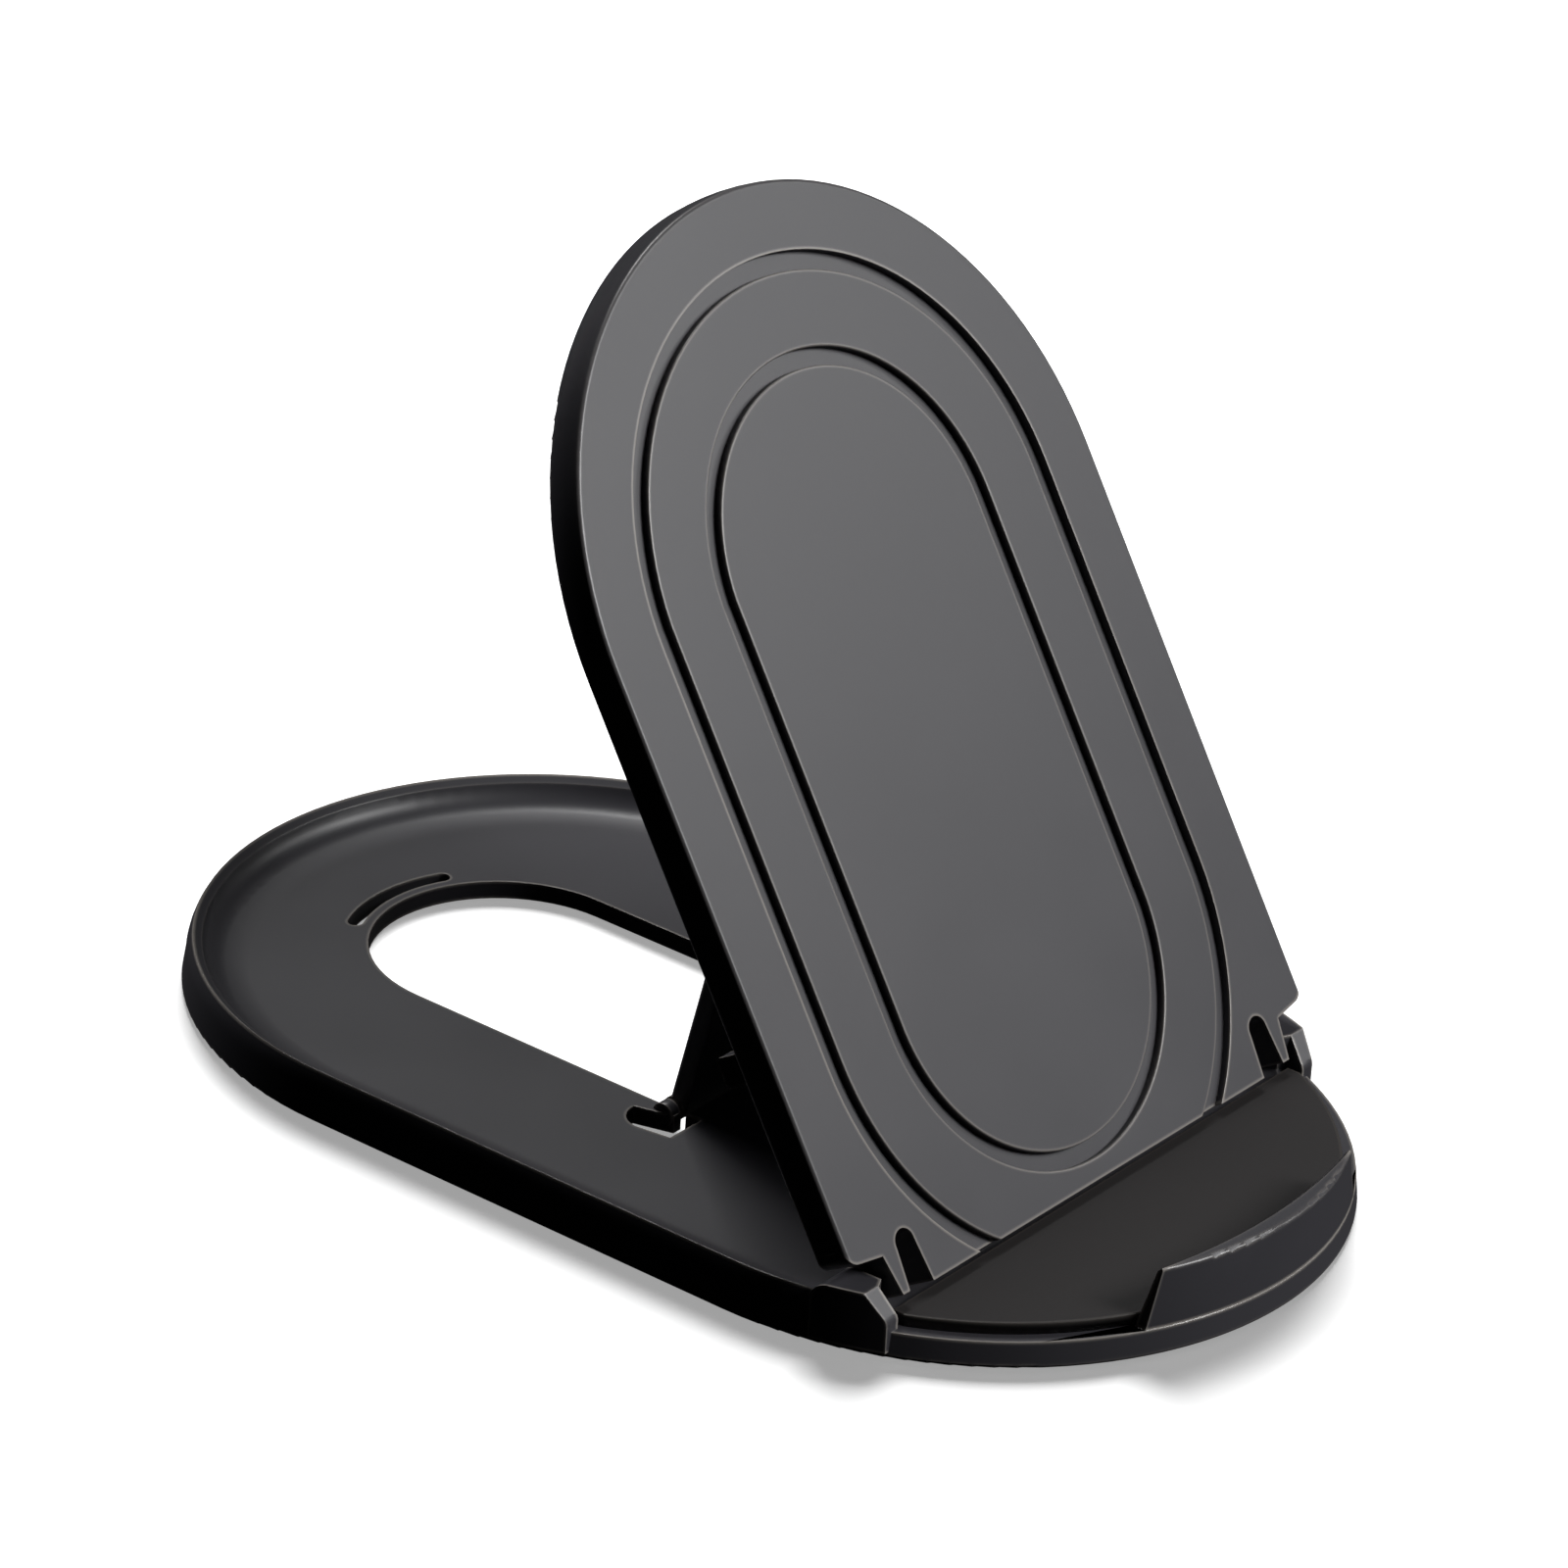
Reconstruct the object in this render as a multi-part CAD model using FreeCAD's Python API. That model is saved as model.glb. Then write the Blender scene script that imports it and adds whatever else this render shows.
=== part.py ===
"""Folding phone stand: oval base tray, tilting back plate and a ratchet strut.

Millimetres. +Z is up, +X is to the right of the user, and the front of the stand faces -Y.
The origin is the middle of the base on the table. The stand is drawn open, as it is used.
"""
import FreeCAD, Part
import math
import os

V = FreeCAD.Vector
X_AXIS, Y_AXIS, Z_AXIS = V(1, 0, 0), V(0, 1, 0), V(0, 0, 1)
ORIGIN = V(0, 0, 0)

# ---- driving dimensions -------------------------------------------------------------------
BASE_WIDTH = 75.0
BASE_LENGTH = 125.1
BASE_UNDERSIDE = 0.3            # the rubber feet hold the tray this far off the table
FLOOR_TOP = 2.2                 # top of the tray floor
RIM_INNER, RIM_INNER_Z = 35.6, 4.8  # sharp inner edge of the rim
RIM_CREST, RIM_CREST_Z = 36.5, 5.4  # the land between them is the seat for the folded plate
WALL_TOP, WALL_TOP_Z = 37.2, 2.9    # the drafted outer wall begins to round over here
TRAY_FLAT = 30.8                # half width of the flat floor, inside the sloping edge
TRAY_TURN, TRAY_TURN_Z = 33.2, 2.62     # the slope bends up into the rim here
SHOULDER_Z = 3.0                # low front shoulder, level with the platform under the ledge pad
RUN_DOWN = [(-32.5, 5.5), (-35.5, 4.7), (-38.8, 3.35), (-41.4, SHOULDER_Z)]  # rim's end, (y, z)
FOOT_EDGE = 0.4                 # rounding of the tray's lower edge

LEDGE_REAR_Y = -40.1
LEDGE_REAR_HALF = 31.7          # the ledge and its pad end between the hinge ears
LEDGE_PAD_RADIUS = 35.8
LEDGE_PAD_THICK = 1.2
LEDGE_PAD_GAP = 0.15            # between the pad and the front lip
LEDGE_PAD_REAR_Y = -41.05       # the pad's top ends just in front of the plate
TONGUE_THICK = 0.95             # thinner part of the pad, which runs on under the plate's edge
LIP_FACE_Y = -59.2              # middle of the front lip's inner face, at its foot
LIP_FACE_RADIUS = 65.0          # the inner face is a shallow arc in plan
LIP_TOP = 9.0
LIP_END_FOOT, LIP_END_TOP = 16.9, 15.2  # half length of the lip at its foot and at its top
LIP_OUTLINE = 36.7              # outline of the lip's top
LIP_ROUND = 0.4
LIP_BEVEL = 0.4                 # bevel of the lip's inner top edge
LIP_LEAN = 0.5                  # the lip's inner face leans out by this much

WINDOW_HALF = 13.9              # opening that the strut folds into
WINDOW_FRONT_Y = -1.75
FINGER_SLOT_FRONT_Y = -3.6
WINDOW_REAR_CENTRE_Y = 32.0
LATCH_SLOT_INNER = 15.0         # relief slot behind the springy strip at the window's rear end
LATCH_SLOT_WIDTH = 1.6
LATCH_SLOT_HALF_ANGLE = 25.0
FINGER_BOSS_RADIUS = 1.2

PLATE_ANGLE = 58.08             # tilt of the back plate, from the table
PLATE_EDGE_Y, PLATE_EDGE_Z = -40.95, 5.36   # front lower edge of the plate when open
PLATE_HALF = 36.04
PLATE_CENTRE_W = 63.1           # centre of the round top, along the plate
PLATE_DEPTH = 4.2               # depth of the wall round the plate's back
PLATE_CROWN = 0.12              # the wall's outer side is slightly crowned
PLATE_SKIN = 2.2
PLATE_WALL = 1.5
PAD_DEPTH = 0.9                 # both pads lie in one recess of this depth, flush with the face
RECESS_RADIUS = 29.2
RING_OUTER, RING_INNER = 27.3, 19.9
CENTRE_PAD_RADIUS = 18.1
PAD_LOW_CENTRE_W = 21.9         # lower centre of the pads' ovals
PAD_EDGE = 0.15                 # rounding of every pad's upper edge
BACK_EDGE, FACE_EDGE = 0.7, 0.4     # rounding of the plate's back and face edges
LOW_RIB_W, ARM_BLOCK_W = 1.4, 7.0   # tops of the rib and of the arms' blocks at the lower edge
ARM_BLOCK_X = 25.0
ARM_INNER, ARM_OUTER, ARM_TOP = 29.9, 30.9, 4.4     # each springy arm, between two cuts
CORNER_TOP = 6.6                # the plate's round lower corners end here
RELIEF_DEPTH = 3.7              # depth of the wall where it overhangs the rim's round front end

HINGE_W, HINGE_DEPTH = 2.5, 4.2     # hinge line in the plate's own frame
HINGE_PIN_RADIUS = 1.0
HINGE_PIN_TIP = 33.4
HINGE_BOSS_RADIUS = 1.65
EAR_INNER, EAR_ROUND, EAR_OUTLINE = 31.9, 1.65, 37.9
EAR_CUT = [(31.0, -38.4), (33.0, -39.4), (32.4, -41.6), (31.0, -41.6)]  # (x, y) of its inner cut
EAR_SLOPE = [(-39.35, 6.91), (-41.15, 4.65)]            # (y, z) of the sloping top's ends
EAR_NOSE = [(-41.38, 4.25), (-41.45, 3.7), (-41.5, 1.0)]    # (y, z) down the ear's front
RUNNING_FIT = 0.05              # radial clearance of every snap-in pin

STRUT_ANGLE = 102.3             # raised strut, from +Y
STRUT_HALF = 13.5
STRUT_LENGTH = 45.2
STRUT_PIVOT_Z = 1.9
STRUT_BELOW, STRUT_ABOVE = 0.84, 1.26   # strut faces below and above its pivot when folded
STRUT_EDGE = 0.6
STRUT_BARREL_RADIUS = 1.25
STRUT_PIN_RADIUS = 0.8
STRUT_PIN_LENGTH = 1.2          # reach of each stub into the strut

LUG_LOW_W, LUG_HIGH_W = 23.5, 26.5  # closing lugs under the plate's side walls
LUG_DEPTH, LUG_THICK, LUG_OVERLAP = 7.4, 1.8, 0.36
LUG_BEVEL = 0.35
POCKET_GAP = 0.4                # gap round a lug in its pocket in the tray

RACK_HALF, RACK_LOW_W, RACK_HIGH_W = 8.0, 39.5, 69.0
RACK_VALLEY, RACK_CREST = -3.4, -4.15
RACK_FIRST_W, RACK_PITCH, RACK_RIBS = 41.6, 5.2, 5
RIB_FLAT, RIB_WIDE = 0.5, 1.9   # flat crest and full width of one rib

FOOT_RADIUS, FOOT_THICK = 4.8, 1.0
FOOT_X, FOOT_Y = 22.0, 45.0

BASE_HALF = BASE_WIDTH / 2
BASE_CENTRE_Y = BASE_LENGTH / 2 - BASE_HALF
TALL = 20.0                     # reach of a cutting tool past what it cuts
WIDE = 60.0
ROOT = 1.0                      # depth to which ears and lip are sunk into the tray


# ---- small helpers ------------------------------------------------------------------------
def closed_face(points, place):
    """Face from corner points; a pair (middle, end) in the list is an arc to end."""
    edges = []
    here = points[0]
    for step in points[1:] + [points[0]]:
        if isinstance(step[0], tuple):
            middle, end = step
            edges.append(Part.Arc(place(*here), place(*middle), place(*end)).toShape())
            here = end
        elif math.dist(here, step) > 1e-6:
            edges.append(Part.makeLine(place(*here), place(*step)))
            here = step
    return Part.Face(Part.Wire(edges))


def in_xy(z):
    return lambda x, y: V(x, y, z)


def in_xz(x, z):
    return V(x, 0, z)


def in_yz(x):
    return lambda y, z: V(x, y, z)


def corner_arc(centre, radius, start, end):
    """Arc step for closed_face, round centre from one angle to another in degrees."""
    def at(angle):
        turn = math.radians(angle)
        return (centre[0] + radius * math.cos(turn), centre[1] + radius * math.sin(turn))
    return (at((start + end) / 2), at(end))


def pill(section, front_centre, rear_centre):
    """Oval solid: the section (radius, height) revolved round both ends and drawn between."""
    face = closed_face(section, in_xz)
    rear = face.revolve(ORIGIN, Z_AXIS, 180)
    front = rear.copy()
    front.rotate(ORIGIN, Z_AXIS, 180)
    rear.translate(V(0, rear_centre, 0))
    front.translate(V(0, front_centre, 0))
    side = face.extrude(V(0, rear_centre - front_centre, 0))
    side.translate(V(0, front_centre, 0))
    other_side = side.mirror(ORIGIN, X_AXIS)
    return rear.fuse([front, side, other_side]).removeSplitter()


def flat_pill(radius, low, high, front_centre, rear_centre, edge=0.0):
    """Oval slab, with its upper edge rounded by edge."""
    if edge:
        section = [(0, low), (radius, low), (radius, high - edge),
                   corner_arc((radius - edge, high - edge), edge, 0, 90), (0, high)]
    else:
        section = [(0, low), (radius, low), (radius, high), (0, high)]
    return pill(section, front_centre, rear_centre)


def block(x0, x1, y0, y1, z0, z1):
    return Part.makeBox(x1 - x0, y1 - y0, z1 - z0, V(x0, y0, z0))


def rod(radius, x0, x1, y, z):
    """Cylinder along X."""
    return Part.makeCylinder(radius, x1 - x0, V(x0, y, z), X_AXIS)


def both_sides(shape):
    return [shape, shape.mirror(ORIGIN, X_AXIS)]


def one_solid(shape):
    shape = shape.removeSplitter()
    assert len(shape.Solids) == 1, "a piece fell apart"
    return shape.Solids[0]


# ---- base ---------------------------------------------------------------------------------
def arc_from_tangent(start, end):
    """Arc step that leaves start straight up and bends inwards to end."""
    inwards, rise = start[0] - end[0], end[1] - start[1]
    radius = (inwards ** 2 + rise ** 2) / (2 * inwards)
    end_angle = math.degrees(math.asin(rise / radius))
    return corner_arc((start[0] - radius, start[1]), radius, 0, end_angle)


def base_outer():
    """Drafted wall that rounds over to the crest, and the land inside the crest."""
    low, edge = BASE_UNDERSIDE, FOOT_EDGE
    section = [(0, low), (BASE_HALF - edge, low),
               corner_arc((BASE_HALF - edge, low + edge), edge, -90, 0),
               (WALL_TOP, WALL_TOP_Z),
               arc_from_tangent((WALL_TOP, WALL_TOP_Z), (RIM_CREST, RIM_CREST_Z)),
               (RIM_INNER, RIM_INNER_Z), (0, RIM_INNER_Z)]
    return pill(section, -BASE_CENTRE_Y, BASE_CENTRE_Y)


def tray_pocket():
    """Hollow of the tray, whose floor slopes up a little and then bends up to the rim."""
    start, end = (TRAY_TURN, TRAY_TURN_Z), (RIM_INNER, RIM_INNER_Z)
    slope = math.atan2(TRAY_TURN_Z - FLOOR_TOP, TRAY_TURN - TRAY_FLAT)
    chord = math.atan2(end[1] - start[1], end[0] - start[0])
    radius = math.dist(start, end) / (2 * math.sin(chord - slope))
    centre = (start[0] - radius * math.sin(slope), start[1] + radius * math.cos(slope))
    bend = corner_arc(centre, radius, math.degrees(slope) - 90,
                      math.degrees(2 * chord - slope) - 90)
    section = [(0, FLOOR_TOP), (TRAY_FLAT, FLOOR_TOP), start, bend, (RIM_INNER, TALL), (0, TALL)]
    ledge = block(-LEDGE_REAR_HALF, LEDGE_REAR_HALF, -2 * WIDE, LEDGE_REAR_Y, 0, 2 * TALL)
    corners = block(-WIDE, WIDE, -2 * WIDE, EAR_NOSE[-1][0], 0, 2 * TALL)
    return pill(section, -BASE_CENTRE_Y, BASE_CENTRE_Y).cut([ledge, corners])


def front_relief():
    """Everything above the rim's run down to the low front shoulder."""
    place = in_yz(-WIDE)
    run_down = Part.BSplineCurve()
    run_down.interpolate([place(*point) for point in RUN_DOWN])
    first, last = RUN_DOWN[0], RUN_DOWN[-1]
    ends = [last, (-2 * WIDE, SHOULDER_Z), (-2 * WIDE, TALL), (first[0], TALL), first]
    edges = [run_down.toShape()]
    edges += [Part.makeLine(place(*a), place(*b)) for a, b in zip(ends, ends[1:])]
    return Part.Face(Part.Wire(Part.__sortEdges__(edges))).extrude(V(2 * WIDE, 0, 0))


def behind_lip():
    """Everything behind the lip's inner face: upright at its foot, then leaning out."""
    foot = LIP_FACE_RADIUS
    top = foot + LIP_LEAN
    section = [(0, 0), (foot, 0), (foot, SHOULDER_Z), (top, LIP_TOP - LIP_BEVEL),
               (top + LIP_BEVEL, LIP_TOP), (top + LIP_BEVEL, TALL), (0, TALL)]
    solid = closed_face(section, in_xz).revolve(ORIGIN, Z_AXIS, 360)
    solid.translate(V(0, LIP_FACE_Y + LIP_FACE_RADIUS, 0))
    return solid


def lip():
    """Upstand at the front that keeps the phone on the ledge."""
    edge_z = LIP_TOP - LIP_ROUND
    section = [(0, ROOT), (WALL_TOP, ROOT), (WALL_TOP, WALL_TOP_Z), (LIP_OUTLINE, edge_z),
               corner_arc((LIP_OUTLINE - LIP_ROUND, edge_z), LIP_ROUND, 0, 90), (0, LIP_TOP)]
    between_ends = closed_face([(-LIP_END_FOOT, 0), (LIP_END_FOOT, 0), (LIP_END_FOOT, SHOULDER_Z),
                                (LIP_END_TOP, LIP_TOP), (LIP_END_TOP, TALL), (-LIP_END_TOP, TALL),
                                (-LIP_END_TOP, LIP_TOP), (-LIP_END_FOOT, SHOULDER_Z)], in_xz)
    upstand = pill(section, -BASE_CENTRE_Y, BASE_CENTRE_Y)
    return upstand.common(between_ends.extrude(V(0, -2 * WIDE, 0))).cut(behind_lip())


def hinge_line():
    """Height and place of the plate's hinge axis: (y, z)."""
    tilt = math.radians(PLATE_ANGLE)
    y = PLATE_EDGE_Y + HINGE_W * math.cos(tilt) + HINGE_DEPTH * math.sin(tilt)
    z = PLATE_EDGE_Z + HINGE_W * math.sin(tilt) - HINGE_DEPTH * math.cos(tilt)
    return y, z


def hinge_ears():
    """Pair of ears beside the plate's arms, round at the back and sloping down in front."""
    y, z = hinge_line()
    nose_middle, nose_end, nose_foot = EAR_NOSE
    side = closed_face([(y + EAR_ROUND, ROOT), (y + EAR_ROUND, z),
                        corner_arc((y, z), EAR_ROUND, 0, 90)] + EAR_SLOPE
                       + [(nose_middle, nose_end), nose_foot], in_yz(EAR_INNER))
    outline = flat_pill(EAR_OUTLINE, ROOT / 2, TALL, -BASE_CENTRE_Y, BASE_CENTRE_Y)
    inner_cut = closed_face(EAR_CUT, in_xy(0)).extrude(V(0, 0, TALL))
    return both_sides(side.extrude(V(TALL, 0, 0)).common(outline).cut(inner_cut))


def hinge_holes():
    """Blind holes in the ears for the stub pins of the plate's arms."""
    hole = rod(HINGE_PIN_RADIUS + RUNNING_FIT, EAR_INNER - 1, HINGE_PIN_TIP + 0.2, *hinge_line())
    return both_sides(hole)


def strut_window():
    half = WINDOW_HALF
    outline = closed_face([(half, WINDOW_FRONT_Y), (half, WINDOW_REAR_CENTRE_Y),
                           ((0, WINDOW_REAR_CENTRE_Y + half), (-half, WINDOW_REAR_CENTRE_Y)),
                           (-half, WINDOW_FRONT_Y)], in_xy(-1))
    return outline.extrude(V(0, 0, TALL))


def finger_slot():
    """Slot outside one springy finger of the floor, open to the window in front of it."""
    half = WINDOW_HALF
    outline = closed_face([(half - 0.1, FINGER_SLOT_FRONT_Y), (half - 0.1, -1.3), (half + 1.1, -1.3),
                           (half + 2.3, 2.7), ((half + 4.1, 2.2), (half + 5.2, 0.2)),
                           (half + 4.6, FINGER_SLOT_FRONT_Y)], in_xy(-1))
    return outline.extrude(V(0, 0, TALL))


def finger_boss():
    """Boss on a finger's end, with the stub pin that the strut turns on."""
    boss = rod(FINGER_BOSS_RADIUS, WINDOW_HALF, WINDOW_HALF + 1.3, 0, STRUT_PIVOT_Z)
    stub = rod(STRUT_PIN_RADIUS, STRUT_HALF - STRUT_PIN_LENGTH, WINDOW_HALF + 0.5,
               0, STRUT_PIVOT_Z)
    return boss.fuse(stub)


def lug_pocket():
    """Pocket at the foot of the tray wall that takes a closing lug of the folded plate."""
    y, z = hinge_line()
    outer = PLATE_HALF - PLATE_WALL + LUG_OVERLAP
    low, rear, front = z + HINGE_DEPTH - LUG_DEPTH, y - HINGE_W + LUG_HIGH_W, y - HINGE_W + LUG_LOW_W
    swing_room = 2 * POCKET_GAP
    return block(outer - LUG_THICK - POCKET_GAP, outer + POCKET_GAP,
                 front - swing_room, rear + swing_room, low - POCKET_GAP, TALL)


def latch_slot():
    """Curved slot that frees a springy strip at the window's rear end."""
    inner, outer = LATCH_SLOT_INNER, LATCH_SLOT_INNER + LATCH_SLOT_WIDTH
    centre = (0, WINDOW_REAR_CENTRE_Y)
    first, last = 90 - LATCH_SLOT_HALF_ANGLE, 90 + LATCH_SLOT_HALF_ANGLE
    start = corner_arc(centre, inner, first, first)[1]
    outer_end = corner_arc(centre, outer, last, last)[1]
    outline = closed_face([start, corner_arc(centre, inner, first, last), outer_end,
                           corner_arc(centre, outer, last, first)], in_xy(-1))
    slot = outline.extrude(V(0, 0, TALL))
    mid = inner + LATCH_SLOT_WIDTH / 2
    for angle in (first, last):
        x, y = corner_arc(centre, mid, angle, angle)[1]
        slot = slot.fuse(Part.makeCylinder(LATCH_SLOT_WIDTH / 2, TALL, V(x, y, -1)))
    return slot


def foot_places():
    return {"foot_front_left": (-FOOT_X, -FOOT_Y), "foot_front_right": (FOOT_X, -FOOT_Y),
            "foot_rear_left": (-FOOT_X, FOOT_Y), "foot_rear_right": (FOOT_X, FOOT_Y)}


def between_ears(low):
    """Everything above the ledge, from the front of the stand to the foot of the plate."""
    return block(-LEDGE_REAR_HALF, LEDGE_REAR_HALF, -2 * WIDE, LEDGE_REAR_Y, low, TALL)


def base_tray():
    body = base_outer().cut([tray_pocket(), front_relief(), between_ears(SHOULDER_Z)])
    body = body.fuse([lip()] + hinge_ears())
    body = body.cut([strut_window(), latch_slot()] + both_sides(finger_slot())
                    + both_sides(lug_pocket()))
    body = body.fuse(both_sides(finger_boss()))
    recesses = [Part.makeCylinder(FOOT_RADIUS + 0.1, FOOT_THICK, V(x, y, 0))
                for x, y in foot_places().values()]
    return one_solid(body.cut(hinge_holes() + recesses))


def ledge_pad():
    """Soft pad that the phone's edge stands on, with a tongue under the plate's edge."""
    top = SHOULDER_Z + LEDGE_PAD_THICK
    slab = flat_pill(LEDGE_PAD_RADIUS, SHOULDER_Z, top, -BASE_CENTRE_Y, BASE_CENTRE_Y)
    front_arc = Part.makeCylinder(LIP_FACE_RADIUS - LEDGE_PAD_GAP, TALL,
                                  V(0, LIP_FACE_Y + LIP_FACE_RADIUS, 0))
    half, rear = LEDGE_REAR_HALF, LEDGE_PAD_REAR_Y
    in_front = block(-half, half, -2 * WIDE, rear, 0, TALL)
    pad = one_solid(slab.common(front_arc).common(in_front))
    upper = [edge for edge in pad.Edges if edge.BoundBox.ZMin > top - 0.01]
    tongue = block(-half, half, rear - ROOT / 2, LEDGE_REAR_Y,
                   SHOULDER_Z, SHOULDER_Z + TONGUE_THICK)
    return one_solid(pad.makeFillet(PAD_EDGE, upper).fuse(tongue))


def foot(x, y):
    rubber = Part.makeCylinder(FOOT_RADIUS, FOOT_THICK, V(x, y, 0))
    rim = [edge for edge in rubber.Edges if edge.BoundBox.ZMax < 0.01]
    return rubber.makeFillet(PAD_EDGE, rim)


# ---- back plate, in its own frame: X across, Y up the plate, Z out of the front face --------
def tilt_up(shape):
    shape = shape.copy()
    shape.rotate(ORIGIN, X_AXIS, PLATE_ANGLE)
    shape.translate(V(0, PLATE_EDGE_Y, PLATE_EDGE_Z))
    return shape


def above_lower_edge():
    return block(-WIDE, WIDE, 0, 2 * WIDE, -TALL, TALL)


def plate_blank():
    """Full slab with rounded front and back edges, square at its lower edge."""
    half, back = PLATE_HALF, -PLATE_DEPTH
    section = [(0, back), (half - BACK_EDGE, back),
               corner_arc((half - BACK_EDGE, back + BACK_EDGE), BACK_EDGE, -90, 0),
               ((half + PLATE_CROWN, back / 2), (half, -FACE_EDGE)),
               corner_arc((half - FACE_EDGE, -FACE_EDGE), FACE_EDGE, 0, 90), (0, 0)]
    return pill(section, -WIDE, PLATE_CENTRE_W).common(above_lower_edge())


def plate_hollow():
    """Hollow back, bounded by the wall, the lower rib and the blocks at the arms."""
    half = PLATE_HALF - PLATE_WALL
    section = [(0, -TALL), (half, -TALL), (half, -PLATE_SKIN), (0, -PLATE_SKIN)]
    above_blocks = block(-WIDE, WIDE, ARM_BLOCK_W, 2 * WIDE, -TALL, 0)
    between_blocks = block(-ARM_BLOCK_X, ARM_BLOCK_X, LOW_RIB_W, 2 * ARM_BLOCK_W,
                           -TALL, -PLATE_SKIN)
    return pill(section, 0, PLATE_CENTRE_W).common(above_blocks).fuse(between_blocks)


def arm_slot():
    """Slot inside one springy arm, rounded at the top and wider at the bottom."""
    outline = closed_face([(26.5, -1), (26.5, 0), (26.9, ARM_TOP),
                           ((28.2, ARM_TOP + 1.4), (29.5, ARM_TOP)),
                           (ARM_INNER, 0.3), (ARM_OUTER, 0.3), (ARM_OUTER, -1)], in_xy(-TALL))
    return outline.extrude(V(0, 0, 2 * TALL))


def corner_notch():
    """Cut outside one arm, which leaves room for the ear and rounds the plate's corner."""
    outline = closed_face([(ARM_OUTER, -1), (ARM_OUTER, 0.3), (31.6, ARM_TOP), (34.8, 4.9),
                           ((35.75, 5.45), (PLATE_HALF, CORNER_TOP)), (WIDE, CORNER_TOP),
                           (WIDE, -1)], in_xy(-TALL))
    return outline.extrude(V(0, 0, 2 * TALL))


def corner_relief():
    """Shallower wall at one lower corner, which overhangs the round end of the rim when folded."""
    below = -PLATE_DEPTH - 0.1
    side = closed_face([(4.0, -RELIEF_DEPTH), (12.0, -RELIEF_DEPTH), (14.0, below), (4.0, below)],
                       in_yz(PLATE_HALF - 2 * PLATE_WALL))
    return side.extrude(V(TALL, 0, 0))


def arm_boss():
    """Boss and stub pin at the end of one arm."""
    boss = rod(HINGE_BOSS_RADIUS, ARM_INNER, ARM_OUTER + 0.4, HINGE_W, -HINGE_DEPTH)
    pin = rod(HINGE_PIN_RADIUS, ARM_INNER + 0.5, HINGE_PIN_TIP, HINGE_W, -HINGE_DEPTH)
    tip = [edge for edge in pin.Edges if edge.BoundBox.XMin > HINGE_PIN_TIP - 0.01]
    return boss.fuse(pin.makeChamfer(0.3, tip))


def closing_lug():
    """Lug that drops into its pocket in the base when the stand is folded."""
    outer = PLATE_HALF - PLATE_WALL + LUG_OVERLAP
    low, high, tip, bevel = LUG_LOW_W, LUG_HIGH_W, -LUG_DEPTH, LUG_BEVEL
    root = -PLATE_SKIN / 2
    side = closed_face([(low, root), (high, root), (high, tip + bevel), (high - bevel, tip),
                        (low + bevel, tip), (low, tip + bevel)], in_yz(outer - LUG_THICK))
    return side.extrude(V(LUG_THICK, 0, 0))


def ratchet():
    """Rack on the plate's back, with a rib above each place where the strut can stand."""
    root = -PLATE_SKIN + 0.2
    rack = block(-RACK_HALF, RACK_HALF, RACK_LOW_W, RACK_HIGH_W, RACK_VALLEY, root)
    for step in range(RACK_RIBS):
        low = RACK_FIRST_W + step * RACK_PITCH
        rib = closed_face([(low, root), (low, RACK_CREST), (low + RIB_FLAT, RACK_CREST),
                           (low + RIB_WIDE, RACK_VALLEY), (low + RIB_WIDE, root)],
                          in_yz(-RACK_HALF))
        rack = rack.fuse(rib.extrude(V(2 * RACK_HALF, 0, 0)))
    return rack


def back_plate():
    recess = flat_pill(RECESS_RADIUS, -PAD_DEPTH, 1, PAD_LOW_CENTRE_W, PLATE_CENTRE_W)
    plate = plate_blank().cut([plate_hollow(), recess])
    plate = plate.cut(both_sides(arm_slot()) + both_sides(corner_notch())
                      + both_sides(corner_relief()))
    plate = plate.fuse(both_sides(arm_boss()) + both_sides(closing_lug()) + [ratchet()])
    return tilt_up(one_solid(plate))


def ring_pad():
    outer = flat_pill(RING_OUTER, -PAD_DEPTH, 0, PAD_LOW_CENTRE_W, PLATE_CENTRE_W, PAD_EDGE)
    inner = flat_pill(RING_INNER, -1, 1, PAD_LOW_CENTRE_W, PLATE_CENTRE_W)
    return tilt_up(one_solid(outer.cut(inner).common(above_lower_edge())))


def centre_pad():
    pad = flat_pill(CENTRE_PAD_RADIUS, -PAD_DEPTH, 0, PAD_LOW_CENTRE_W, PLATE_CENTRE_W, PAD_EDGE)
    return tilt_up(one_solid(pad))


# ---- strut, in its own frame: X across, Y from the pivot to the tip, Z up when folded --------
def strut():
    half, low, high, edge = STRUT_HALF, -STRUT_BELOW, STRUT_ABOVE, STRUT_EDGE
    section = [(0, low), (half - edge, low), corner_arc((half - edge, low + edge), edge, -90, 0),
               (half, high - edge), corner_arc((half - edge, high - edge), edge, 0, 90), (0, high)]
    panel = pill(section, -WIDE, STRUT_LENGTH - half).common(above_lower_edge())
    barrel = rod(STRUT_BARREL_RADIUS, -half, half, 0, 0)
    socket = rod(STRUT_PIN_RADIUS + RUNNING_FIT, half - STRUT_PIN_LENGTH - 0.2, half + 1, 0, 0)
    body = one_solid(panel.fuse(barrel).cut(both_sides(socket)))
    body.rotate(ORIGIN, X_AXIS, STRUT_ANGLE)
    body.translate(V(0, 0, STRUT_PIVOT_Z))
    return body


# ---- all pieces ----------------------------------------------------------------------------
def all_pieces():
    pieces = {"base_tray": base_tray(), "ledge_pad": ledge_pad(), "back_plate": back_plate(),
              "ring_pad": ring_pad(), "centre_pad": centre_pad(), "strut": strut()}
    for name, (x, y) in foot_places().items():
        pieces[name] = foot(x, y)
    return pieces


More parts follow.
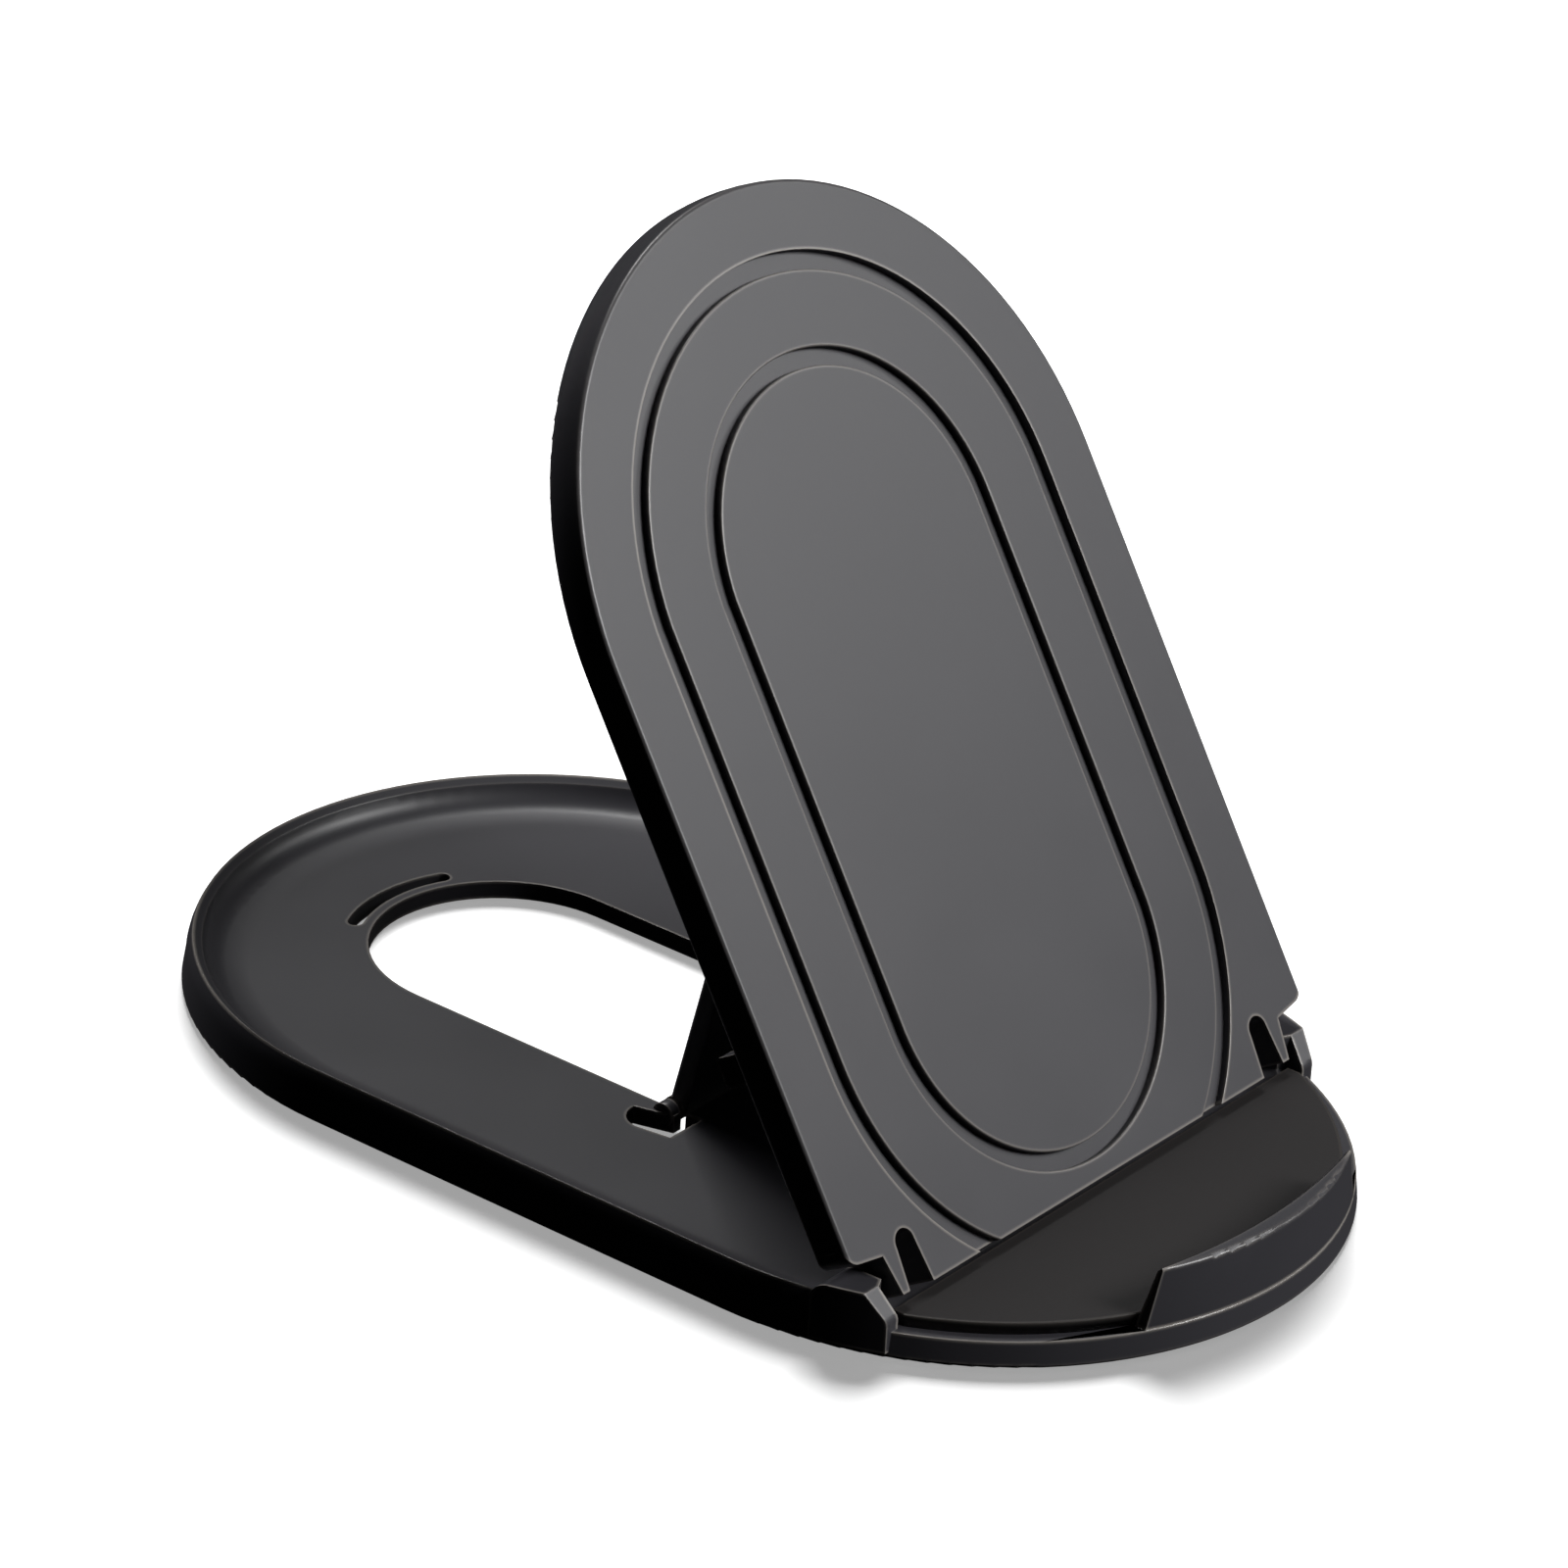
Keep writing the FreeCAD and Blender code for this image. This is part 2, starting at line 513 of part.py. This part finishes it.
os.makedirs("parts", exist_ok=True)
for node, shape in all_pieces().items():
    assert shape.isValid(), node
    shape.exportStep("parts/" + node + ".step")
    box = shape.BoundBox
    print("%-16s %9.1f mm3  x %.2f %.2f  y %.2f %.2f  z %.2f %.2f" % (
        node, shape.Volume, box.XMin, box.XMax, box.YMin, box.YMax, box.ZMin, box.ZMax))
print("hinge line y %.3f z %.3f" % hinge_line())
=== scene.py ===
"""Looks of the folding phone stand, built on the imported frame. Metres, +Z up, front towards -Y."""
import math

import bmesh
import bpy
from mathutils import Matrix, Vector


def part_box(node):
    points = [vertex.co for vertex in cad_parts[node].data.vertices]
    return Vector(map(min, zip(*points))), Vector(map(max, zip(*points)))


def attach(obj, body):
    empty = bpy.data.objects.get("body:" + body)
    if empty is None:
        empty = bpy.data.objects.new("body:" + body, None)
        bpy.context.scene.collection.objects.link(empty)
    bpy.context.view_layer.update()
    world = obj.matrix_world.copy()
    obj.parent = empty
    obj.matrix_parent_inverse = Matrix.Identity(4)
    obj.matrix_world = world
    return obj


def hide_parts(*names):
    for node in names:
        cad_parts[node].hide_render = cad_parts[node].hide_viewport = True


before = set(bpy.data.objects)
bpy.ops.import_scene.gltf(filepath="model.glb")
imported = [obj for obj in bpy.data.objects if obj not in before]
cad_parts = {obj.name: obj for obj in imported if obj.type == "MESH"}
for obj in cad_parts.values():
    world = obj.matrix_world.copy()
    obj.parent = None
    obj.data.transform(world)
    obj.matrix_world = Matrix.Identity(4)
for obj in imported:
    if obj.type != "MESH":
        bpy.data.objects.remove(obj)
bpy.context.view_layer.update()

MM = 0.001
HARD_NODES = ("base_tray", "back_plate", "strut")
SHARP = math.radians(20)            # edges whose faces meet at more than this are chamfered
SAME_PLANE = math.radians(0.3)      # faces that meet at less than this are joined into one
SAME_POINT = 0.0001 * MM            # points nearer than this are joined into one
FLATNESS = 80                       # how strongly the large faces keep their own direction
BROKEN_EDGE = 0.05 * MM             # greatest width of a chamfer; it is less where the mesh is dense
ARC_STEPS = 24                      # points of one quarter of a round outline
EDGE_ROUND = 0.14 * MM              # apparent rounding of every edge
EDGE_REACH = 0.38 * MM              # how far below the surface the next face is looked for
EDGE_HIGHLIGHT_ROUGHNESS = 0.22                  # roughness on the edges that carry the painted highlight
EDGE_OPEN = (0.96, 0.62)            # openness below the surface where the painted edge highlight starts and is full
CLOUD_SIZE = 14 * MM                # of the soft clouds of tone
GRAIN_SIZE, GRAIN_DEPTH = 0.30 * MM, 0.02 * MM

# Driving dimensions of the soft pieces, in millimetres. They are the CAD's, but the ledge pad
# keeps its full thickness as far as its rear edge, where the CAD's pad is thinner.
PLATE_TILT = math.radians(58.08)
PLATE_EDGE = (-40.95, 5.36)         # (y, z) of the back plate's front lower edge
PAD_DEPTH, PAD_EDGE = 0.9, 0.15
PAD_LOW, PAD_HIGH = 21.9, 63.1      # centres of the pads' ovals, along the plate
RING_OUTER, RING_INNER, CENTRE_RADIUS = 27.3, 19.9, 18.1
LEDGE_RADIUS, LEDGE_CENTRE_Y = 35.8, -25.05
LEDGE_HALF, LEDGE_REAR_Y = 31.7, -40.2
LIP_RADIUS, LIP_CENTRE_Y = 64.85, 5.8   # front edge of the ledge pad, along the lip's inner face

# Details of the feet, as shares of a foot's radius.
FOOT_EDGE, FOOT_GROOVE = 1 / 24, 1 / 16
FOOT_RINGS = (0.72, 0.42)           # outer radius of each groove


# ---- camera: the photograph's angle --------------------------------------------------------
CAMERA_AZIMUTH, CAMERA_ELEVATION, CAMERA_ROLL = -53.66, 26.85, 3.98
CAMERA_PLACE = Vector((-522.1, -384.6, 360.3)) * MM
LENS, SENSOR = 174.98, 36.0


def make_camera():
    data = bpy.data.cameras.new("camera")
    data.lens, data.sensor_width = LENS, SENSOR
    data.clip_start, data.clip_end = 0.01, 20.0
    camera = bpy.data.objects.new("camera", data)
    bpy.context.scene.collection.objects.link(camera)
    turn = math.radians(CAMERA_AZIMUTH)
    lift = math.radians(CAMERA_ELEVATION)
    roll = math.radians(CAMERA_ROLL)
    backward = Vector((math.sin(turn) * math.cos(lift), -math.cos(turn) * math.cos(lift),
                       math.sin(lift)))
    level = Vector((math.cos(turn), math.sin(turn), 0))
    upright = backward.cross(level)
    right = level * math.cos(roll) + upright * math.sin(roll)
    up = backward.cross(right)
    turned = Matrix((right, up, backward)).transposed()
    camera.matrix_world = Matrix.Translation(CAMERA_PLACE) @ turned.to_4x4()
    bpy.context.scene.camera = camera


# ---- materials -----------------------------------------------------------------------------
def new_material(name):
    material = bpy.data.materials.new(name)
    material.use_nodes = True
    material.node_tree.nodes.clear()
    return material, material.node_tree.nodes, material.node_tree.links


def map_range(nodes, links, value, low, high, to_low=0.0, to_high=1.0, kind="LINEAR"):
    fade = nodes.new("ShaderNodeMapRange")
    fade.interpolation_type = kind
    for socket, number in (("From Min", low), ("From Max", high),
                           ("To Min", to_low), ("To Max", to_high)):
        fade.inputs[socket].default_value = number
    links.new(value, fade.inputs["Value"])
    return fade.outputs["Result"]


def edge_mask(nodes, links):
    """1 on raised edges, where the next face is near below the surface, and 0 elsewhere: where the
    painted edge highlight goes.
    """
    shade = nodes.new("ShaderNodeAmbientOcclusion")
    shade.samples, shade.inside, shade.only_local = 12, True, True
    shade.inputs["Distance"].default_value = EDGE_REACH
    return map_range(nodes, links, shade.outputs["AO"], *EDGE_OPEN)


def moulded(name, dark, light, roughness, grain, painted_edge_highlight, shine=0.5):
    """Moulded plastic or rubber: two close tones in soft clouds, a fine surface grain,
    and a painted highlight: raised edges painted lighter and given a lower roughness."""
    material, nodes, links = new_material(name)
    out = nodes.new("ShaderNodeOutputMaterial")
    shader = nodes.new("ShaderNodeBsdfPrincipled")
    shader.inputs["Specular IOR Level"].default_value = shine
    place = nodes.new("ShaderNodeTexCoord")
    cloud = nodes.new("ShaderNodeTexNoise")
    cloud.inputs["Scale"].default_value = 1 / CLOUD_SIZE
    cloud.inputs["Detail"].default_value = 3
    fine = nodes.new("ShaderNodeTexNoise")
    fine.inputs["Scale"].default_value = 1 / GRAIN_SIZE
    fine.inputs["Detail"].default_value = 2
    for texture in (cloud, fine):
        links.new(place.outputs["Object"], texture.inputs["Vector"])
    tone = nodes.new("ShaderNodeMixRGB")
    tone.inputs["Color1"].default_value = (*dark, 1)
    tone.inputs["Color2"].default_value = (*light, 1)
    links.new(cloud.outputs["Fac"], tone.inputs["Fac"])
    rounded = nodes.new("ShaderNodeBevel")
    rounded.samples = 6
    rounded.inputs["Radius"].default_value = EDGE_ROUND
    # painted highlight: the raised edges are painted in a lighter colour
    edge_highlight_mix = nodes.new("ShaderNodeMixRGB")
    edge_highlight_mix.inputs["Color2"].default_value = (*painted_edge_highlight, 1)
    mask = edge_mask(nodes, links)
    links.new(mask, edge_highlight_mix.inputs["Fac"])
    links.new(tone.outputs["Color"], edge_highlight_mix.inputs["Color1"])
    bump = nodes.new("ShaderNodeBump")
    bump.inputs["Strength"].default_value = grain
    bump.inputs["Distance"].default_value = GRAIN_DEPTH
    links.new(fine.outputs["Fac"], bump.inputs["Height"])
    links.new(rounded.outputs["Normal"], bump.inputs["Normal"])
    links.new(edge_highlight_mix.outputs["Color"], shader.inputs["Base Color"])
    edge_roughness = nodes.new("ShaderNodeMixRGB")
    edge_roughness.inputs["Color2"].default_value = (EDGE_HIGHLIGHT_ROUGHNESS, EDGE_HIGHLIGHT_ROUGHNESS, EDGE_HIGHLIGHT_ROUGHNESS, 1)
    links.new(mask, edge_roughness.inputs["Fac"])
    links.new(map_range(nodes, links, cloud.outputs["Fac"], 0.0, 1.0, *roughness),
              edge_roughness.inputs["Color1"])
    links.new(edge_roughness.outputs["Color"], shader.inputs["Roughness"])
    links.new(bump.outputs["Normal"], shader.inputs["Normal"])
    links.new(shader.outputs["BSDF"], out.inputs["Surface"])
    return material


def paint(obj, material):
    obj.data.materials.clear()
    obj.data.materials.append(material)


# ---- hard pieces: the CAD meshes with fine chamfers ------------------------------------------
def crisp(obj, width):
    """Joins the mesh's flat faces, chamfers its sharp edges and keeps the large faces flat."""
    weld = obj.modifiers.new("weld", "WELD")
    weld.merge_threshold = SAME_POINT
    flat = obj.modifiers.new("flat", "DECIMATE")
    flat.decimate_type = "DISSOLVE"
    flat.angle_limit = SAME_PLANE
    bevel = obj.modifiers.new("bevel", "BEVEL")
    bevel.width, bevel.segments = width, 2
    bevel.limit_method, bevel.angle_limit = "ANGLE", SHARP
    shade = obj.modifiers.new("shade", "WEIGHTED_NORMAL")
    shade.mode, shade.weight = "FACE_AREA", FLATNESS
    obj.data.polygons.foreach_set("use_smooth", [True] * len(obj.data.polygons))


# ---- soft pieces: closed meshes lofted through outlines, in millimetres -----------------------
def arc(centre, radius, start, end, steps=ARC_STEPS):
    """Points round centre from one angle to another, without the last one."""
    points = []
    for step in range(steps):
        angle = start + (end - start) * step / steps
        points.append((radius * math.cos(angle), centre + radius * math.sin(angle)))
    return points


def oval(radius, low, high, cut, corner):
    """Oval outline; below low it is cut straight at the height cut, or turns at the angle corner."""
    if low - radius < cut:
        corner = math.asin((low - cut) / radius)
        half = radius * math.cos(corner)
        bottom = [(-half + 2 * half * step / ARC_STEPS, cut) for step in range(ARC_STEPS)]
    else:
        bottom = arc(low, radius, math.pi + corner, 2 * math.pi - corner)
    return (arc(high, radius, 0, math.pi, 2 * ARC_STEPS)
            + arc(low, radius, math.pi, math.pi + corner) + bottom
            + arc(low, radius, 2 * math.pi - corner, 2 * math.pi))


def ledge_outline(inset):
    """Outline of the ledge pad: square behind, and two arcs in front."""
    radius, front, half = LEDGE_RADIUS - inset, LIP_RADIUS - inset, LEDGE_HALF - inset
    span = LIP_CENTRE_Y - LEDGE_CENTRE_Y
    meet = math.acos((radius ** 2 + span ** 2 - front ** 2) / (2 * radius * span))
    meet_x = radius * math.sin(meet)
    side = math.acos(half / radius)
    left, right = math.pi + side, 2 * math.pi - side
    turn = math.asin(meet_x / front)
    down = 1.5 * math.pi
    points = [(half, LEDGE_REAR_Y - inset), (-half, LEDGE_REAR_Y - inset)]
    points += arc(LEDGE_CENTRE_Y, radius, left, down - (math.pi - meet))
    points += arc(LIP_CENTRE_Y, front, down - turn, down + turn)
    return points + arc(LEDGE_CENTRE_Y, radius, down + (math.pi - meet), right) + [
        (half, LEDGE_CENTRE_Y + radius * math.sin(right))]


def edge_rings(outline, low, high, edge, steps=4):
    """Rings up a side wall and over its rounded upper edge; outline takes an inset."""
    rings = [[(x, y, low) for x, y in outline(0)]]
    for step in range(steps + 1):
        angle = math.pi / 2 * step / steps
        inset = edge * (1 - math.cos(angle))
        rings.append([(x, y, high - edge + edge * math.sin(angle)) for x, y in outline(inset)])
    return rings


def loft(name, rings, place, closed=False):
    """Mesh through rings of equally many points: capped at both ends, or closed on itself."""
    shape = bmesh.new()
    loops = [[shape.verts.new(place @ (Vector(point) * MM)) for point in ring] for ring in rings]
    count = len(loops[0])
    pairs = list(zip(loops, loops[1:])) + ([(loops[-1], loops[0])] if closed else [])
    for lower, upper in pairs:
        for here in range(count):
            there = (here + 1) % count
            shape.faces.new((lower[here], lower[there], upper[there], upper[here]))
    if not closed:
        shape.faces.new(reversed(loops[0]))
        shape.faces.new(loops[-1])
    bmesh.ops.recalc_face_normals(shape, faces=shape.faces)
    mesh = bpy.data.meshes.new(name)
    shape.to_mesh(mesh)
    shape.free()
    mesh.polygons.foreach_set("use_smooth", [True] * len(mesh.polygons))
    piece = bpy.data.objects.new(name, mesh)
    bpy.context.scene.collection.objects.link(piece)
    shade = piece.modifiers.new("shade", "WEIGHTED_NORMAL")
    shade.mode, shade.weight = "FACE_AREA", FLATNESS
    return piece


def stands_for(piece, node, body, material):
    paint(piece, material)
    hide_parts(node)
    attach(piece, body)


def plate_place():
    """From the back plate's own frame, X across, Y up and Z out of its face, to the stand's."""
    return Matrix.Translation(Vector((0, *PLATE_EDGE)) * MM) @ Matrix.Rotation(PLATE_TILT, 4, "X")


def centre_pad_mesh():
    def outline(inset):
        return oval(CENTRE_RADIUS - inset, PAD_LOW, PAD_HIGH, 0, math.pi / 4)
    rings = edge_rings(outline, -PAD_DEPTH, 0, PAD_EDGE)
    return loft("centre_pad_rubber", rings, plate_place())


def ring_pad_mesh():
    corner = math.asin(PAD_LOW / RING_OUTER)

    def outer(inset):
        return oval(RING_OUTER - inset, PAD_LOW, PAD_HIGH, 0, corner)

    def inner(inset):
        return oval(RING_INNER + inset, PAD_LOW, PAD_HIGH, 0, corner)
    rings = edge_rings(outer, -PAD_DEPTH, 0, PAD_EDGE)
    rings += reversed(edge_rings(inner, -PAD_DEPTH, 0, PAD_EDGE))
    return loft("ring_pad_rubber", rings, plate_place(), closed=True)


def ledge_pad_mesh():
    low, high = (corner.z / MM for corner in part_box("ledge_pad"))
    return loft("ledge_pad_rubber", edge_rings(ledge_outline, low, high, PAD_EDGE),
                Matrix.Identity(4))


def foot_mesh(node):
    """Rubber foot with a rounded edge and ring grooves in the face it stands on."""
    low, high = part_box(node)
    middle, radius = (low + high) / 2, (high.x - low.x) / 2 / MM
    thick = (high.z - low.z) / MM
    edge, groove = radius * FOOT_EDGE, radius * FOOT_GROOVE
    profile = [(radius, thick), (radius, edge), (radius - 0.3 * edge, 0.3 * edge),
               (radius - edge, 0)]
    for out in (radius * share for share in FOOT_RINGS):
        profile += [(out, 0), (out - 0.5 * groove, groove), (out - 1.5 * groove, groove),
                    (out - 2 * groove, 0)]
    rings = []
    for reach, height in profile:
        rings.append([(x, y, height) for x, y in arc(0, reach, 0, 2 * math.pi, 4 * ARC_STEPS)])
    place = Matrix.Translation((middle.x, middle.y, low.z))
    return loft(node + "_rubber", rings, place)


# ---- stage ---------------------------------------------------------------------------------
FLOOR_HALF = 4.0
FLOOR_TONE, FLOOR_ROUGHNESS, FLOOR_GLOW = (0.85, 0.85, 0.85, 1), 0.9, 0.35
STAND_MIDDLE = (0, 0, 0.03)
WORLD_LIGHT = (0.04, 0.8)           # least and most
WORLD_FADES = (("X", -0.2, 0.9, 0.0), ("Z", -0.7, 0.25, 0.5))   # axis, from, to, least share
LIGHTS = (("key", (0.38, -0.90, 0.74), 0.42, 17),               # name, place, size, watts
          ("kick", (0.80, -0.62, 0.48), 0.25, 1.2),
          ("over", (0.30, 0.42, 0.80), 0.30, 4.2),
          ("rear", (0.25, 1.00, 0.22), 0.50, 12))
FLOOR_LIGHT = ("ground", (0.56, 0.40, 0.62), 0.6, 20)


def make_floor():
    """White floor that glows a little and that the stand neither mirrors nor is lit by."""
    mesh = bpy.data.meshes.new("floor")
    half = FLOOR_HALF
    mesh.from_pydata([(-half, -half, 0), (half, -half, 0), (half, half, 0), (-half, half, 0)],
                     [], [(0, 1, 2, 3)])
    floor = bpy.data.objects.new("floor", mesh)
    bpy.context.scene.collection.objects.link(floor)
    material, nodes, links = new_material("floor_white")
    out = nodes.new("ShaderNodeOutputMaterial")
    shader = nodes.new("ShaderNodeBsdfPrincipled")
    shader.inputs["Base Color"].default_value = FLOOR_TONE
    shader.inputs["Roughness"].default_value = FLOOR_ROUGHNESS
    shader.inputs["Specular IOR Level"].default_value = 0.0
    shader.inputs["Emission Color"].default_value = (1, 1, 1, 1)
    shader.inputs["Emission Strength"].default_value = FLOOR_GLOW
    links.new(shader.outputs["BSDF"], out.inputs["Surface"])
    floor.data.materials.append(material)
    floor.visible_glossy = floor.visible_diffuse = False
    return floor


def make_light(name, place, size, power):
    """Square light that shines on the middle of the stand."""
    data = bpy.data.lights.new(name, "AREA")
    data.shape, data.size, data.energy = "SQUARE", size, power
    light = bpy.data.objects.new(name, data)
    bpy.context.scene.collection.objects.link(light)
    light.location = place
    light.rotation_euler = (Vector(STAND_MIDDLE) - Vector(place)).to_track_quat("-Z", "Y").to_euler()
    return light


def group(name, thing):
    things = bpy.data.collections.new(name)
    things.objects.link(thing)
    return things


def spare(light, thing):
    """Keeps a light off one object."""
    left_out = group("unlit by " + light.name, thing)
    light.light_linking.receiver_collection = left_out
    left_out.collection_objects[0].light_linking.link_state = "EXCLUDE"


def only_shadow(light, shaded, caster):
    """Lets a light fall on one object only, with the shadow of one other object."""
    light.light_linking.receiver_collection = group("lit by " + light.name, shaded)
    light.light_linking.blocker_collection = group("shades " + light.name, caster)


def make_world():
    """Soft light that is brightest to the right and fades to the left and below the horizon."""
    world = bpy.data.worlds.new("studio")
    world.use_nodes = True
    nodes, links = world.node_tree.nodes, world.node_tree.links
    background = nodes["Background"]
    place = nodes.new("ShaderNodeTexCoord")
    split = nodes.new("ShaderNodeSeparateXYZ")
    links.new(place.outputs["Generated"], split.inputs["Vector"])
    both = nodes.new("ShaderNodeMath")
    both.operation = "MULTIPLY"
    for slot, (axis, low, high, least) in enumerate(WORLD_FADES):
        fade = map_range(nodes, links, split.outputs[axis], low, high, least, kind="SMOOTHSTEP")
        links.new(fade, both.inputs[slot])
    level = map_range(nodes, links, both.outputs["Value"], 0.0, 1.0, *WORLD_LIGHT)
    links.new(level, background.inputs["Strength"])
    bpy.context.scene.world = world


# ---- the scene -----------------------------------------------------------------------------
# the last colour of each material is the painted highlight along its raised edges
plastic = moulded("satin_black", (0.027, 0.0264, 0.0305), (0.032, 0.0312, 0.0362), (0.36, 0.44),
                  grain=0.25, painted_edge_highlight=(0.21, 0.195, 0.18))
rubber = moulded("black_rubber", (0.010, 0.0088, 0.0088), (0.014, 0.0122, 0.0122), (0.62, 0.72),
                 grain=0.4, painted_edge_highlight=(0.05, 0.045, 0.04), shine=0.3)
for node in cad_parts:
    paint(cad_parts[node], plastic)
for node in ("ledge_pad", "foot_front_left", "foot_front_right", "foot_rear_left",
             "foot_rear_right"):
    paint(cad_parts[node], rubber)
for node in HARD_NODES:
    crisp(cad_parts[node], BROKEN_EDGE)

stands_for(centre_pad_mesh(), "centre_pad", "back", plastic)
stands_for(ring_pad_mesh(), "ring_pad", "back", plastic)
stands_for(ledge_pad_mesh(), "ledge_pad", "base", rubber)
for side in ("front_left", "front_right", "rear_left", "rear_right"):
    stands_for(foot_mesh("foot_" + side), "foot_" + side, "base", rubber)

floor = make_floor()
make_camera()
make_world()
lights = {}
for name, place, size, power in LIGHTS:
    lights[name] = make_light(name, place, size, power)
    spare(lights[name], floor)
lights["rear"].visible_glossy = False     # fills the back without glare on the plate's rim
only_shadow(make_light(*FLOOR_LIGHT), floor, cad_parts["base_tray"])
bpy.context.scene.view_settings.view_transform = "Standard"
